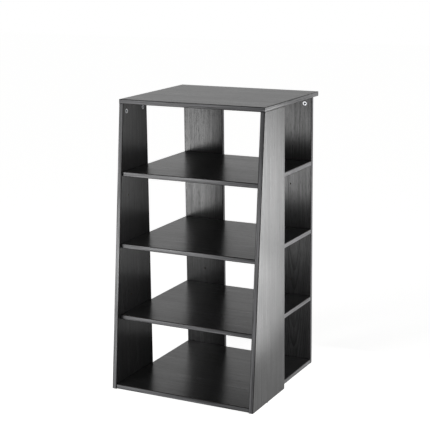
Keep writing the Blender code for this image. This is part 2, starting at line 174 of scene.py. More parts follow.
def woodgrainMelamine(name, grain):
    s = melamineSettings
    material, tree, shader = startMaterial(name)
    place = addNode(tree, "ShaderNodeTexCoord")
    # Turned so that X runs into the board, Y across its grain and Z along it.
    turned = addNode(tree, "ShaderNodeMapping", {}, {
        "Vector": place.outputs["Object"],
        "Rotation": [math.radians(angle) for angle in grain["turn"]],
        "Location": [value * mm for value in grain["shift"]],
    })
    slow = addNode(tree, "ShaderNodeMapping", {}, {"Vector": turned, "Scale": perMetre(s["waver"])})
    swing = addNode(tree, "ShaderNodeTexNoise", {}, {
        "Vector": slow, "Scale": 1.0, "Detail": s["waverDetail"],
    })
    swingBy = addNode(tree, "ShaderNodeMapRange", {}, {
        "Value": swing, "To Min": -s["waverBy"] * mm, "To Max": s["waverBy"] * mm,
    })
    sideways = addNode(tree, "ShaderNodeCombineXYZ", {}, {"Y": swingBy})
    wavy = addNode(tree, "ShaderNodeVectorMath", {"operation": "ADD"}, {0: turned, 1: sideways})
    layers = {}
    for kind, detail in s["detail"].items():
        stretched = addNode(tree, "ShaderNodeMapping", {}, {"Vector": wavy, "Scale": perMetre(s[kind])})
        layers[kind] = addNode(tree, "ShaderNodeTexNoise", {}, {
            "Vector": stretched, "Scale": 1.0, "Detail": detail, "Roughness": s["fineDetail"],
        })
    layers["pore"] = addNode(tree, "ShaderNodeMapRange", {"interpolation_type": "SMOOTHSTEP"}, {
        "Value": layers["pore"], "From Min": s["poreFrom"], "From Max": s["poreTo"],
    })
    # A growth ring is where the distance to a leaning line, the tree's middle, is the same. A flat
    # board cuts the rings in straight lines at its sides and in pointed arches between them.
    split = addNode(tree, "ShaderNodeSeparateXYZ", {}, {0: wavy})
    aside = addNode(tree, "ShaderNodeCombineXYZ", {}, {
        "X": s["pithDistance"] * mm, "Y": split.outputs["Y"],
    })
    reach = addNode(tree, "ShaderNodeVectorMath", {"operation": "LENGTH"}, {0: aside})
    climbing = addNode(tree, "ShaderNodeMath", {"operation": "MULTIPLY_ADD"}, {
        0: split.outputs["Z"], 1: grain["taper"], 2: reach.outputs["Value"],
    })
    count = addNode(tree, "ShaderNodeMath", {"operation": "DIVIDE"},
                    {0: climbing, 1: s["ringSpacing"] * mm})
    year = addNode(tree, "ShaderNodeMath", {"operation": "FLOOR"}, {0: count})
    season = addNode(tree, "ShaderNodeMath", {"operation": "FRACT"}, {0: count})
    growth = addNode(tree, "ShaderNodeTexWhiteNoise", {"noise_dimensions": "1D"}, {"W": year})
    lateWood = addNode(tree, "ShaderNodeMath", {"operation": "POWER"},
                       {0: season, 1: s["lateWoodPower"]})
    layers["ring"] = addNode(tree, "ShaderNodeMath", {"operation": "MULTIPLY"},
                             {0: lateWood, 1: growth.outputs["Value"]})
    if "archesEnd" in grain:
        start, end = grain["archesEnd"]
        shown = addNode(tree, "ShaderNodeMapRange", {"interpolation_type": "SMOOTHSTEP"}, {
            "Value": split.outputs["Z"], "From Min": end * mm, "From Max": start * mm,
        })
        layers["ring"] = addNode(tree, "ShaderNodeMath", {"operation": "MULTIPLY"},
                                 {0: layers["ring"], 1: shown})
    shares = {**s["shares"], "ring": grain["rings"]}
    # Noise is a half on average, and that half is taken off, so that the middle tone stays.
    tone = s["middleTone"] - (shares["fibre"] + shares["vein"]) / 2
    for kind, layer in layers.items():
        tone = addNode(tree, "ShaderNodeMath", {"operation": "MULTIPLY_ADD"},
                       {0: layer, 1: shares[kind], 2: tone})
    colour = addNode(tree, "ShaderNodeValToRGB", {"stops": rampStops(s["tones"])}, {"Fac": tone})
    gloss = addNode(tree, "ShaderNodeMapRange", {}, {
        "Value": tone, "To Min": s["matt"], "To Max": s["satin"],
    })
    bump = addNode(tree, "ShaderNodeBump", {}, {
        "Strength": s["bump"], "Distance": s["emboss"] * mm, "Height": tone,
    })
    across = addNode(tree, "ShaderNodeCombineXYZ", {}, dict(zip("XYZ", grain["across"])))
    shine = addNode(tree, "ShaderNodeMapRange", {}, {
        "Value": tone, "From Min": s["shineFrom"], "From Max": s["shineTo"], "To Min": s["poreShine"],
    })
    setInputs(tree, shader, {
        "IOR": s["ior"], "Specular IOR Level": s["specular"], "Anisotropic": s["acrossGrain"],
        "Specular Tint": shine, "Base Color": colour, "Roughness": gloss, "Normal": bump,
        "Tangent": across,
    })
    return material


# PVC edge banding, extruded black and printed with grey grain: a shade paler than the faces, with a
# black line along both arrises, partly where the trimmer takes the print off and partly painted shade
# of the seam beside the face, and small scuffs there.
bandingSettings = {
    "dark": "#222223",
    "light": "#6a6a6c",
    # the arrises' black: the trimmed-off print, and painted shade of the seam
    "bare": "#060607",
    "scuff": "#4c4c4d",
    "streak": (260.0, 4.2),  # mm along and across one streak
    "fibre": (60.0, 1.6),    # mm of one fibre
    "patch": (14.0, 2.0),    # mm of one scuff
    "detail": {"streak": 2.0, "fibre": 2.0, "patch": 3.0},
    "boardStep": (0.31, 0.1147, 0.0),  # cells by which each pattern moves on from board to board
    "fibreShare": 0.45,
    "darkAt": 0.50, "lightAt": 0.95,
    "printThins": 0.02, "printGone": 0.30,  # shares of an arris's mark of wear and painted shade
    "scuffFrom": 0.52, "scuffTo": 0.75, "scuffShown": 0.6,
    "ior": 1.53,
    "specular": 0.18,
    "matt": 0.46, "satin": 0.28,
    "trimmedShine": 0.30,    # share of the shine that the trimmer's fine scratches leave
    "bump": 0.5, "emboss": 0.04,  # strength and mm
}


def edgeBanding(name, number):
    s = bandingSettings
    material, tree, shader = startMaterial(name)
    run = addNode(tree, "ShaderNodeUVMap", {"uv_map": "run"})
    layers = {}
    for kind, detail in s["detail"].items():
        stretched = addNode(tree, "ShaderNodeMapping", {}, {
            "Vector": run,
            "Location": [step * number for step in s["boardStep"]],
            "Scale": [*perMetre(s[kind]), 1.0],
        })
        layers[kind] = addNode(tree, "ShaderNodeTexNoise", {}, {
            "Vector": stretched, "Scale": 1.0, "Detail": detail,
        })
    both = addNode(tree, "ShaderNodeMath", {"operation": "MULTIPLY_ADD"},
                   {0: layers["fibre"], 1: s["fibreShare"], 2: layers["streak"]})
    tone = addNode(tree, "ShaderNodeMapRange", {}, {
        "Value": both, "From Min": s["darkAt"], "From Max": s["lightAt"],
    })
    printed = addNode(tree, "ShaderNodeMix", {"data_type": "RGBA"}, {
        "Factor": tone, "A": linearColour(s["dark"]), "B": linearColour(s["light"]),
    })
    arris = addNode(tree, "ShaderNodeAttribute", {"attribute_name": "arris"})
    # The arrises turn black: the trimmed-off print, and painted shade of the seam beside the face.
    trimmedAndShaded = addNode(tree, "ShaderNodeMapRange", {}, {
        "Value": arris.outputs["Fac"], "From Min": s["printThins"], "From Max": s["printGone"],
    })
    trimmed = addNode(tree, "ShaderNodeMix", {"data_type": "RGBA"}, {
        "Factor": trimmedAndShaded, "A": printed.outputs["Result"], "B": linearColour(s["bare"]),
    })
    patches = addNode(tree, "ShaderNodeMapRange", {"interpolation_type": "SMOOTHSTEP"}, {
        "Value": layers["patch"], "From Min": s["scuffFrom"], "From Max": s["scuffTo"],
        "To Max": s["scuffShown"],
    })
    worn = addNode(tree, "ShaderNodeMath", {"operation": "MULTIPLY"},
                   {0: arris.outputs["Fac"], 1: patches})
    colour = addNode(tree, "ShaderNodeMix", {"data_type": "RGBA"}, {
        "Factor": worn, "A": trimmed.outputs["Result"], "B": linearColour(s["scuff"]),
    })
    gloss = addNode(tree, "ShaderNodeMapRange", {}, {
        "Value": tone, "To Min": s["matt"], "To Max": s["satin"],
    })
    bump = addNode(tree, "ShaderNodeBump", {}, {
        "Strength": s["bump"], "Distance": s["emboss"] * mm, "Height": layers["fibre"],
    })
    shine = addNode(tree, "ShaderNodeMapRange", {}, {
        "Value": trimmedAndShaded, "To Min": 1.0, "To Max": s["trimmedShine"],
    })
    setInputs(tree, shader, {
        "IOR": s["ior"], "Specular IOR Level": s["specular"], "Specular Tint": shine,
        "Base Color": colour.outputs["Result"], "Roughness": gloss, "Normal": bump,
    })
    return material


# Raw particleboard, wood chips pressed with glue: brown and rough, and seen only inside bores and
# on the panels' bare ends. Its tones are darker than bare chipboard: painted shade of the deep,
# narrow bores, which the bare ends get too.
chipSettings = {
    "tones": ((0.15, "#2c241b"), (0.60, "#4a3d2e"), (1.00, "#6b5a45")),
    "chip": (1.6, 2.4, 1.3),        # mm
    "fuzz": 2.2,                    # tufts of loose fibre to one chip
    "fuzzDetail": 4.0,
    "fuzzShare": 0.5,
    "roughness": 0.85,
    "bump": 0.8, "relief": 0.15,    # strength and mm
}


def rawParticleboard():
    s = chipSettings
    material, tree, shader = startMaterial("raw_particleboard")
    place = addNode(tree, "ShaderNodeTexCoord")
    scaled = addNode(tree, "ShaderNodeMapping", {}, {
        "Vector": place.outputs["Object"], "Scale": perMetre(s["chip"]),
    })
    chips = addNode(tree, "ShaderNodeTexVoronoi", {"feature": "F1"}, {
        "Vector": scaled, "Scale": 1.0, "Randomness": 1.0,
    })
    fuzz = addNode(tree, "ShaderNodeTexNoise", {}, {
        "Vector": scaled, "Scale": s["fuzz"], "Detail": s["fuzzDetail"],
    })
    tint = addNode(tree, "ShaderNodeSeparateColor", {}, {0: chips.outputs["Color"]})
    blend = addNode(tree, "ShaderNodeMath", {"operation": "MULTIPLY_ADD"},
                    {0: fuzz, 1: s["fuzzShare"], 2: tint})
    colour = addNode(tree, "ShaderNodeValToRGB", {"stops": rampStops(s["tones"])}, {"Fac": blend})
    bump = addNode(tree, "ShaderNodeBump", {}, {
        "Strength": s["bump"], "Distance": s["relief"] * mm, "Height": chips.outputs["Distance"],
    })
    setInputs(tree, shader, {"Roughness": s["roughness"], "Base Color": colour, "Normal": bump})
    return material


# The fittings: zinc die-cast and tumbled, so bright but mottled, with its recess near black, partly
# a dull dark skin where tumbling doesn't reach and partly painted shade; drawn steel with a clear
# zinc plate; and polyethylene, injection moulded in a spark-eroded tool, so matt black, waxy and a
# little scratched.
spottedSettings = {
    "die_cast_zinc": {
        # The recess colour is near black: a dark skin, and painted shade in it.
        "dark": "#a2a4a7", "light": "#cccdd0", "recess": "#0c0c0d", "metallic": 1.0,
        "noises": ((0.9, 3.0), (0.16, 2.0)),   # mm and layers of detail of the spots and of the grit
        "roughness": (0.52, 0.38),             # of the darkest and of the palest spots
        "bump": 0.5, "relief": 0.02,           # strength and mm
    },
    "zinc_plated_steel": {
        "dark": "#a5a9ad", "light": "#cfd3d8", "metallic": 1.0, "noises": ((2.2, 3.0), (0.12, 2.0)),
        "roughness": (0.36, 0.20), "bump": 0.5, "relief": 0.01,
    },
    "moulded_polyethylene": {
        "dark": "#131314", "light": "#262627", "metallic": 0.0, "noises": ((0.35, 3.0),),
        "roughness": (0.42, 0.62), "bump": 0.6, "relief": 0.03,
    },
}


def spottedMaterial(name):
    # The first noise makes the spots and the last one the relief.
    s = spottedSettings[name]
    material, tree, shader = startMaterial(name)
    place = addNode(tree, "ShaderNodeTexCoord")
    noises = [addNode(tree, "ShaderNodeTexNoise", {}, {
        "Vector": place.outputs["Object"], "Scale": 1 / (size * mm), "Detail": detail,
    }) for size, detail in s["noises"]]
    colour = addNode(tree, "ShaderNodeMix", {"data_type": "RGBA"}, {
        "Factor": noises[0], "A": linearColour(s["dark"]), "B": linearColour(s["light"]),
    })
    # The recess is painted near black: the zinc's dark skin, and painted shade.
    if "recess" in s:
        recess = addNode(tree, "ShaderNodeAttribute", {"attribute_name": "recess"})
        colour = addNode(tree, "ShaderNodeMix", {"data_type": "RGBA"}, {
            "Factor": recess.outputs["Fac"], "A": colour.outputs["Result"],
            "B": linearColour(s["recess"]),
        })
    gloss = addNode(tree, "ShaderNodeMapRange", {}, {
        "Value": noises[0], "To Min": s["roughness"][0], "To Max": s["roughness"][1],
    })
    bump = addNode(tree, "ShaderNodeBump", {}, {
        "Strength": s["bump"], "Distance": s["relief"] * mm, "Height": noises[-1],
    })
    setInputs(tree, shader, {
        "Metallic": s["metallic"], "Base Color": colour.outputs["Result"], "Roughness": gloss,
        "Normal": bump,
    })
    return material


particleboard = rawParticleboard()
zinc = spottedMaterial("die_cast_zinc")
steel = spottedMaterial("zinc_plated_steel")
polyethylene = spottedMaterial("moulded_polyethylene")
print("materials of the fittings made")


# Meshes

def gridCorners(rows, columns, closedRows, closedColumns):
    # Row and column of the four corners of each quad in a grid of points. A closed direction has one
    # more line of quads, whose far corners are counted on past its last line.
    i, j = np.meshgrid(np.arange(rows - (not closedRows)), np.arange(columns - (not closedColumns)),
                       indexing="ij")
    i, j = i.ravel(), j.ravel()
    return np.stack([i, i, i + 1, i + 1], axis=1), np.stack([j, j + 1, j + 1, j], axis=1)


def gridFaces(rows, columns, closedRows, closedColumns):
    # Point numbers of each quad's corners, as the points run row by row.
    i, j = gridCorners(rows, columns, closedRows, closedColumns)
    return ((i % rows) * columns + j % columns).tolist()


# Four corners below and the same four above: four walls and both ends.
slabFaces = gridFaces(2, 4, False, True) + [[3, 2, 1, 0], [4, 5, 6, 7]]


def makeObject(name, points, faces, materials):
    mesh = bpy.data.meshes.new(name)
    mesh.from_pydata(np.asarray(points, float).reshape(-1, 3).tolist(), [], faces)
    for material in materials:
        mesh.materials.append(material)
    piece = bpy.data.objects.new(name, mesh)
    bpy.context.scene.collection.objects.link(piece)
    return piece


def smoothRound(piece, degrees=32.0):
    # Shaded smooth, except over edges that turn by more than these degrees.
    piece.data.shade_smooth()
    piece.data.set_sharp_from_angle(angle=math.radians(degrees))


def settle(piece, slotName, *nodes):
    # Carried by the stand's one body, in place of the nodes that it stands for.
    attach(piece, "root")
    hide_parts(*nodes)


def turnedPoints(profile, sides):
    # A profile of radius and height turned about Z: x = r cos a, y = r sin a, z = h.
    angle = np.linspace(0, 2 * math.pi, sides, endpoint=False)
    profile = np.asarray(profile, float)
    radius, height = profile[:, :1], profile[:, 1:]
    return np.stack([radius * np.cos(angle), radius * np.sin(angle),
                     height + 0 * angle], axis=-1)


def closedTurning(points):
    # The rows of a turned or shaped grid, with a fan to a pole at either end.
    rows, sides = points.shape[:2]
    faces = gridFaces(rows, sides, False, True)
    first, last = rows * sides, rows * sides + 1
    top = (rows - 1) * sides
    around = np.arange(sides)
    ahead = (around + 1) % sides
    faces += np.stack([np.full(sides, first), ahead, around], axis=1).tolist()
    faces += np.stack([np.full(sides, last), top + around, top + ahead], axis=1).tolist()
    poles = np.stack([points[0].mean(axis=0), points[-1].mean(axis=0)])
    return np.concatenate([points.reshape(-1, 3), poles]), faces


def meshPoints(mesh):
    points = np.zeros(len(mesh.vertices) * 3)
    mesh.vertices.foreach_get("co", points)
    return points.reshape(-1, 3)


def turnOutwards(mesh):
    # Faces of a closed mesh point away from its inside: its signed volume is positive.
    mesh.calc_loop_triangles()
    index = np.zeros(len(mesh.loop_triangles) * 3, np.int32)
    mesh.loop_triangles.foreach_get("vertices", index)
    corner = meshPoints(mesh)[index.reshape(-1, 3)]
    volume = np.einsum("ij,ij->i", corner[:, 0], np.cross(corner[:, 1], corner[:, 2])).sum()
    if volume < 0:
        mesh.flip_normals()


def cutAway(piece, cutters):
    # One exact Boolean takes all the cutters out of the piece, and then they are removed. The mesh
    # that is left has no material yet.
    group = bpy.data.collections.new("cutters_of_" + piece.name)
    bpy.context.scene.collection.children.link(group)
    for cutter in cutters:
        bpy.context.scene.collection.objects.unlink(cutter)
        group.objects.link(cutter)
        turnOutwards(cutter.data)
    step = piece.modifiers.new("holes", "BOOLEAN")
    step.operation = "DIFFERENCE"
    step.operand_type = "COLLECTION"
    step.collection = group
    step.solver = "EXACT"
    bpy.context.view_layer.update()
    cut = piece.evaluated_get(bpy.context.evaluated_depsgraph_get())
    mesh = bpy.data.meshes.new_from_object(cut)
    mesh.materials.clear()
    piece.modifiers.clear()
    old = piece.data
    piece.data = mesh
    bpy.data.meshes.remove(old)
    mesh.name = piece.name
    for cutter in cutters:
        bpy.data.objects.remove(cutter, do_unlink=True)
    bpy.data.collections.remove(group)


def moved(points, place):
    # Points of a fitting, in its own axes, brought to its place: a 4 x 4 matrix.
    return points @ place[:3, :3].T + place[:3, 3]


# Fittings: where each cam sits, which way it faces and which way its bolt runs.

fittingSettings = {
    "camBore": 15.0, "camBoreDepth": 12.5,  # mm
    "camPlay": 0.3,      # round a cam in its bore
    "camFromEnd": 24.0,  # from a cam's axis to its board's end
    "boltBore": 8.0,
    "pilotBore": 5.0, "pilotDepth": 11.0,
    "nailBore": 2.8, "nailDepth": 14.3,
    "brokenEdge": 0.2,   # the drill leaves a hole's rim this much wider
    "pilotMouth": 0.02,  # the full width of that rim reaches this far into a pilot hole
    "overcut": 2.0,      # cutters reach this far past a face
    "holeSides": 40,
    "spareHeights": (618.0, 292.0),  # mm above the floor, for the shelves' other places
}
sides = {"left": -1, "right": 1}


def fittingFrame(centre, outward, along):
    place = np.eye(4)
    place[:3, 0] = along
    place[:3, 1] = np.cross(outward, along)
    place[:3, 2] = outward
    place[:3, 3] = centre
    return place


def listFittings():
    # Every fitting as its label, the node of its cam, the board that holds the cam, the board that
    # holds the bolt and its frame: X along the bolt, Z out of the board, origin where the cam's axis
    # meets the board's face.
    found = []

    def addFitting(label, camBoard, boltBoard, outward, along):
        joined = camBoard == "bottom_board"
        node = label + ("_cam_fitting" if joined else "_cam")
        low, high = (np.array(corner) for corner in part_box(node))
        faceLow, faceHigh = (np.array(corner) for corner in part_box(camBoard))
        outward, along = np.array(outward, float), np.array(along, float)
        centre = (low + high) / 2
        # This node is a cam and its bolt, so the cam's middle is its radius in from the node's rear.
        if joined:
            rear = np.where(along > 0, low, high)
            radius = (fittingSettings["camBore"] / 2 - fittingSettings["camPlay"]) * mm
            centre = np.where(along != 0, rear + along * radius, centre)
        centre = np.where(outward != 0, np.where(outward > 0, faceHigh, faceLow), centre)
        found.append({"label": label, "node": node, "joined": joined, "cam": camBoard,
                      "bolt": boltBoard, "place": fittingFrame(centre, outward, along)})

    for word, side in sides.items():
        sidePanel, rearPanel = f"side_panel_{word}", f"rear_panel_{word}"
        for end in ("front", "rear"):
            addFitting(f"top_side_{word}_{end}", sidePanel, "top_board", (-side, 0, 0), (0, 0, 1))
        for end in ("outer", "inner"):
            addFitting(f"top_rear_{word}_{end}", rearPanel, "top_board", (0, -1, 0), (0, 0, 1))
        for board in ("bottom_board", "lower_shelf", "middle_shelf", "upper_shelf"):
            addFitting(f"{board}_side_{word}", board, sidePanel, (0, 0, -1), (side, 0, 0))
            addFitting(f"{board}_rear_{word}", board, rearPanel, (0, 0, -1), (0, 1, 0))
    return found


fittings = listFittings()
print("fittings found:", len(fittings))


# Boards

boardSettings = {
    "thickness": 15.0,     # mm
    "band": 2.0,           # mm of edge banding, trimmed round with the same radius
    "seam": 0.07,          # mm that the trimmed banding lies below the face beside it
    "flatFrom": 0.12,      # mm past an arris, where a second point keeps the flat side flat
    "corner": 0.5,         # mm radius where two bands meet
    "leastCorner": 0.05,   # mm radius that is left there at the inside of the band
    "touch": 0.03,         # mm left between boards that are drawn together
    "slack": 0.02,         # mm; a face with hundreds of corners has its middle that far off at most
    "sharpFrom": 30.0,     # degrees
    "arcSteps": 8,
    "cornerSteps": 3,
}


def insetLoop(corners, inset, radius, steps):
    # A polygon moved inwards by inset, with each corner an arc: every side's line is shifted along
    # its normal, neighbours are crossed, and the arc's middle lies one radius further in.
    corners = np.asarray(corners, float)
    side = np.roll(corners, -1, axis=0) - corners
    side /= np.linalg.norm(side, axis=1, keepdims=True)
    normal = np.stack([-side[:, 1], side[:, 0]], axis=1)  # inwards, as the corners run anticlockwise
    before = np.roll(normal, 1, axis=0)
    spread = (before + normal) / (1 + np.sum(before * normal, axis=1, keepdims=True))
    middle = corners + spread * (inset + radius)
    turn = np.linspace(0, 1, steps + 1)[None, :, None]
    fan = before[:, None] * (1 - turn) + normal[:, None] * turn
    fan /= np.linalg.norm(fan, axis=2, keepdims=True)
    return (middle[:, None] - fan * radius).reshape(-1, 2)


def levelTrim(corners, i):
    # Both ends of a four-sided outline's side i, each with its step for one unit inwards. The step
    # runs along the neighbouring side: that side divided by its own reach inwards.
    start, end = corners[i], corners[(i + 1) % 4]
    run = (end - start) / np.linalg.norm(end - start)
    inwards = np.array([-run[1], run[0]])
    before, after = corners[i - 1] - start, corners[(i + 2) % 4] - end
    return (start, before / np.dot(before, inwards)), (end, after / np.dot(after, inwards))


def bandProfile(s):
    # Across the banding: inset from the board's edge and height, up one arris and down the other.
    # Each arris is a quarter ellipse. Its mark of wear and painted shade is a sine, highest at its
    # middle.
    steps = np.linspace(0, math.pi / 2, s["arcSteps"] + 1)
    inset = s["band"] * (1 - np.sin(steps[::-1]))
    rise = s["seam"] + (s["band"] - s["seam"]) * (1 - np.cos(steps[::-1]))
    low = np.stack([inset[::-1], rise[::-1]], axis=1)
    low = np.concatenate([low, [[0.0, s["band"] + s["flatFrom"]]]])
    high = low[::-1] * (1, -1) + (0, s["thickness"])
    rubbedAndShaded = np.sin(np.linspace(0, math.pi, s["arcSteps"] + 1)).tolist() + [0.0]
    return np.concatenate([low, high]) * mm, np.array(rubbedAndShaded + rubbedAndShaded[::-1])


def toWorld(plan, height, axes, base):
    # Plan coordinates and height put on the world axes that the board's plane and thickness use.
    points = np.zeros((*plan.shape[:-1], 3))
    points[..., axes[0]] = plan[..., 0]
    points[..., axes[1]] = plan[..., 1]
    points[..., axes[2]] = base + height
    return points


def bandStrips(board, profile, s):
    # The profile carried round the board's outline, or along each banded side of it, end to end.
    corners = np.asarray(board["plan"], float)
    if board["banded"] == "all":
        least = s["leastCorner"] * mm
        loops = [insetLoop(corners, inset, max(s["corner"] * mm - inset, least), s["cornerSteps"])
                 for inset in profile[:, 0]]
        return [(np.stack(loops, axis=1), True)]
    strips = []
    for i in board["banded"]:
        # The ends are trimmed level, so the strip follows the neighbouring sides' lines.
        ends = [point + step * profile[:, :1] for point, step in levelTrim(corners, i)]
        strips.append((np.stack(ends), False))
    return strips


def distanceAlong(line):
    # The way along a line of points to each of them, and on to the first again.
    step = np.linalg.norm(np.roll(line, -1, axis=0) - line, axis=1)
    return np.concatenate([[0], np.cumsum(step)])


def makeBanding(name, board, material, s):
    # Each strip is a grid of the way along the board's edge and the way round the banding. Both go
    # into the map "run", in metres, and the arrises' mark of wear and painted shade into the attribute
    # "arris".
    profile, rubbedAndShaded = bandProfile(s)
    around = distanceAlong(profile)
    points, faces, run, wearAndShade = [], [], [], []
    count = 0
    for plan, closed in bandStrips(board, profile, s):
        rows, columns = plan.shape[:2]
        points.append(toWorld(plan, profile[:, 1], board["axes"], board["base"]).reshape(-1, 3))
        along = distanceAlong(plan[:, 0])
        i, j = gridCorners(rows, columns, closed, True)
        faces += (count + (i % rows) * columns + j % columns).tolist()
        run.append(np.stack([along[i], around[j]], axis=-1).reshape(-1, 2))
        if not closed:
            for row, order in ((0, -1), (rows - 1, 1)):
                rim = np.arange(columns)[::order]
                faces.append((count + row * columns + rim).tolist())
                run.append(np.stack([np.full(columns, along[row]), around[rim]], axis=-1))
        wearAndShade.append(np.tile(rubbedAndShaded, rows))
        count += rows * columns
    piece = makeObject(name, np.concatenate(points), faces, [material])
    mesh = piece.data
    layer = mesh.uv_layers.new(name="run")
    layer.data.foreach_set("uv", np.concatenate(run).ravel())
    mark = mesh.attributes.new("arris", "FLOAT", "POINT")
    mark.data.foreach_set("value", np.concatenate(wearAndShade).astype(np.float32))
    turnOutwards(mesh)
    smoothRound(piece)
    return piece


def laidAlongX(turned):
    # A turned shape laid down with its axis along X, at the middle of the board's thickness.
    return np.stack([turned[..., 2], turned[..., 1],
                     -turned[..., 0] - boardSettings["thickness"] / 2 * mm], axis=-1)


def drilled(kind, place, s):
    # A hole's cutter in a fitting's axes: a turned cylinder, wider by the broken edge at its mouth.
    # Each point of its profile is what it adds to the bore's radius and how far along it lies.
    wide, past, end = s["brokenEdge"], s["overcut"], s["camFromEnd"]
    profile = {
        "camBore": ((0.0, -s["camBoreDepth"]), (0.0, -wide), (wide, 0.0), (wide, past)),
        "boltBore": ((0.0, 0.0), (0.0, end + past)),
        "pilotBore": ((wide, end - past), (wide, end + s["pilotMouth"]), (0.0, end + wide),
                      (0.0, end + s["pilotDepth"])),
    }[kind]
    points = turnedPoints((np.array(profile) + (s[kind] / 2, 0.0)) * mm, s["holeSides"])
    flat, faces = closedTurning(points if kind == "camBore" else laidAlongX(points))
    return makeObject(kind, moved(flat, place), faces, [])


def boardHoles(name):
    s = fittingSettings
    holes = []
    for fitting in fittings:
        if fitting["cam"] == name:
            holes += [drilled(kind, fitting["place"], s) for kind in ("camBore", "boltBore")]
        if fitting["bolt"] == name:
            holes.append(drilled("pilotBore", fitting["place"], s))
    kind, _, word = name.rpartition("_")
    if kind in ("side_panel", "rear_panel"):
        # A panel also has the shelves' spare holes and the hole of its glide's nail.
        model = next(f["place"] for f in fittings
                     if f["label"] == f"upper_shelf_{kind.split('_')[0]}_{word}")
        for height in s["spareHeights"]:
            place = model.copy()
            place[2, 3] = (height - boardSettings["thickness"] / 2) * mm
            holes.append(drilled("pilotBore", place, s))
        low, high = (np.array(corner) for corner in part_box(f"glide_{kind.split('_')[0]}_{word}"))
        foot = np.array([*((low + high) / 2)[:2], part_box(name)[0].z])
        radius = s["nailBore"] / 2
        profile = np.array(((radius, -s["overcut"]), (radius, s["nailDepth"]))) * mm
        flat, faces = closedTurning(turnedPoints(profile, s["holeSides"]))
        holes.append(makeObject("nail_bore", flat + foot, faces, []))
    return holes


def makeCore(name, board, material, s):
    # A slab between the two faces, set in by the banding's thickness wherever there is banding, with
    # its holes drilled. Its faces are melamine; bore walls and bare ends are raw particleboard.
    corners = np.asarray(board["plan"], float)
    if board["banded"] == "all":
        plan = insetLoop(corners, s["band"] * mm, 0.0, 0)
    else:
        plan = corners.copy()
        for i in board["banded"]:
            for corner, (point, step) in zip((i, (i + 1) % 4), levelTrim(corners, i)):
                plan[corner] = point + step * s["band"] * mm
    thickness, slack = s["thickness"] * mm, s["slack"] * mm
    heights = np.array([0.0, thickness])
    points = toWorld(np.repeat(plan[None], 2, axis=0), heights[:, None], board["axes"], board["base"])
    piece = makeObject(name, points, slabFaces, [])
    turnOutwards(piece.data)
    cutAway(piece, boardHoles(board["node"]))
    mesh = piece.data
    mesh.materials.append(material)
    mesh.materials.append(particleboard)
    centre = np.zeros(len(mesh.polygons) * 3)
    mesh.polygons.foreach_get("center", centre)
    level = centre.reshape(-1, 3)[:, board["axes"][2]] - board["base"]
    bare = (np.abs(level) > slack) & (np.abs(level - thickness) > slack)
    mesh.polygons.foreach_set("material_index", bare.astype(np.int32))
    mesh.polygons.foreach_set("use_smooth", bare)
    mesh.set_sharp_from_angle(angle=math.radians(s["sharpFrom"]))
    return piece


# How each board's faces are cut from the printed paper: the pattern's place in mm, the share by
# which a growth ring darkens it, and how much the tree's middle leans.
paperSettings = {
    "top_board": ((40, -30, 130), -0.12, 0.05),
    "upper_shelf": ((90, 40, -300), -0.12, 0.05),
    "middle_shelf": ((160, 15, -100), -0.12, 0.05),
    "lower_shelf": ((230, -10, 100), -0.12, 0.05),
    "bottom_board": ((300, -35, 300), -0.12, 0.05),
    "side_panel_left": ((-300, 105, -510), -0.05, -0.03),
    "side_panel_right": ((300, 105, -330), -0.05, 0.03),
    "rear_panel_left": ((-500, 175, -300), -0.12, 0.09),
    "rear_panel_right": ((500, -175, -300), -0.60, -0.09),
}

# Degrees that turn the pattern's X into the board and its Z along the grain, what is across the
# grain in the world, and the mm along the grain over which arches give way to straight lines.
grainWays = {
    "level": {"turn": (0, -90, 0), "across": (0, 1, 0)},
    "side": {"turn": (0, 0, 0), "across": (0, 1, 0)},
    "rear": {"turn": (0, 0, 90), "across": (1, 0, 0), "archesEnd": (130, 260)},
}


def grainOf(node, way):
    return {**dict(zip(("shift", "rings", "taper"), paperSettings[node])), **grainWays[way]}


def listBoards():
    # Each board's outline in its own plane, anticlockwise, and which of its sides carry banding.
    touch = boardSettings["touch"] * mm
    topLow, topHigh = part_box("top_board")
    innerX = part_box("side_panel_right")[0].x
    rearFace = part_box("rear_panel_right")[0].y
    panelTop = topLow.z - touch
    boards = []

    def addLevelBoard(node, low, high):
        boards.append({
            "node": node, "axes": (0, 1, 2), "base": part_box(node)[0].z, "banded": "all",
            "plan": [low, (high[0], low[1]), high, (low[0], high[1])],
            "grain": grainOf(node, "level"),
        })

    addLevelBoard("top_board", topLow[:2], topHigh[:2])
    for node in ("upper_shelf", "middle_shelf", "lower_shelf", "bottom_board"):
        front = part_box(node)[0].y
        addLevelBoard(node, (-innerX + touch, front), (innerX - touch, rearFace - touch))
    for word in sides:
        low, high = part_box(f"side_panel_{word}")
        boards.append({
            "node": f"side_panel_{word}", "axes": (1, 2, 0), "base": low.x, "banded": (1, 3),
            "plan": [(low.y, low.z), (high.y, low.z), (high.y, panelTop), (topLow.y, panelTop)],
            "grain": grainOf(f"side_panel_{word}", "side"),
        })
        low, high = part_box(f"rear_panel_{word}")
        boards.append({
            "node": f"rear_panel_{word}", "axes": (0, 2, 1), "base": low.y, "banded": (1, 3),
            "plan": [(low.x, low.z), (high.x, low.z), (high.x, panelTop), (low.x, panelTop)],
            "grain": grainOf(f"rear_panel_{word}", "rear"),
        })
    return boards


def makeBoards():
    for number, board in enumerate(listBoards()):
        node = board["node"]
        face = woodgrainMelamine(f"woodgrain_melamine_{node}", board["grain"])
        core = makeCore(f"{node}_core", board, face, boardSettings)
        settle(core, "black_melamine", node)
        edge = edgeBanding(f"pvc_banding_{node}", number)
        banding = makeBanding(f"{node}_banding", board, edge, boardSettings)
        settle(banding, "black_melamine", node)
        print("board made:", node, len(core.data.vertices), "points")


makeBoards()


# Cams and bolts

